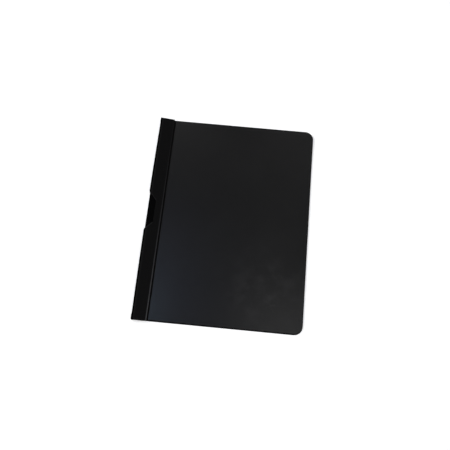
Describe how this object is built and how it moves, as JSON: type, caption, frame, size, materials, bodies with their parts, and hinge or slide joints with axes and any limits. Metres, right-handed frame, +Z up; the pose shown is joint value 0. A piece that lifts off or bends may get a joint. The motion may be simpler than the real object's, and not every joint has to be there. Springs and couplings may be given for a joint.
{
  "type": "clip folder",
  "caption": "Closed black clip folder for A4 sheets: folded film back with a binding strip and thumb cut-out, creased front cover, and a steel clip that swings out of the spine",
  "frame": {"origin": "under the middle of the closed folder, on the surface that it lies on", "axes": "+X from the spine to the fore-edge, +Y along the spine to the folder's top, +Z up through the front cover"},
  "size_m": [0.2294, 0.31, 0.0065],
  "materials": {
    "black_film": "satin with a fine film grain",
    "black_steel": "satin black",
    "rivet_steel": "dark plating"
  },
  "bodies": {
    "folder_back": {"back_sheet": "black_film", "front_cover_flange": "black_film", "clip_rivet": "rivet_steel"},
    "cover": {"front_cover": "black_film"},
    "clip": {"spring_clip": "black_steel"}
  },
  "joints": [
    {"name": "cover_hinge", "type": "hinge", "parent": "folder_back", "child": "cover", "pos_m": [-0.09165, 0, 0.0029], "axis": [0, -1, 0], "range_deg": [0, 170]},
    {"name": "clip_swing", "type": "hinge", "parent": "folder_back", "child": "clip", "pos_m": [-0.10595, -0.14, 0.001], "axis": [0, 0, 1], "range_deg": [0, 90]}
  ]
}
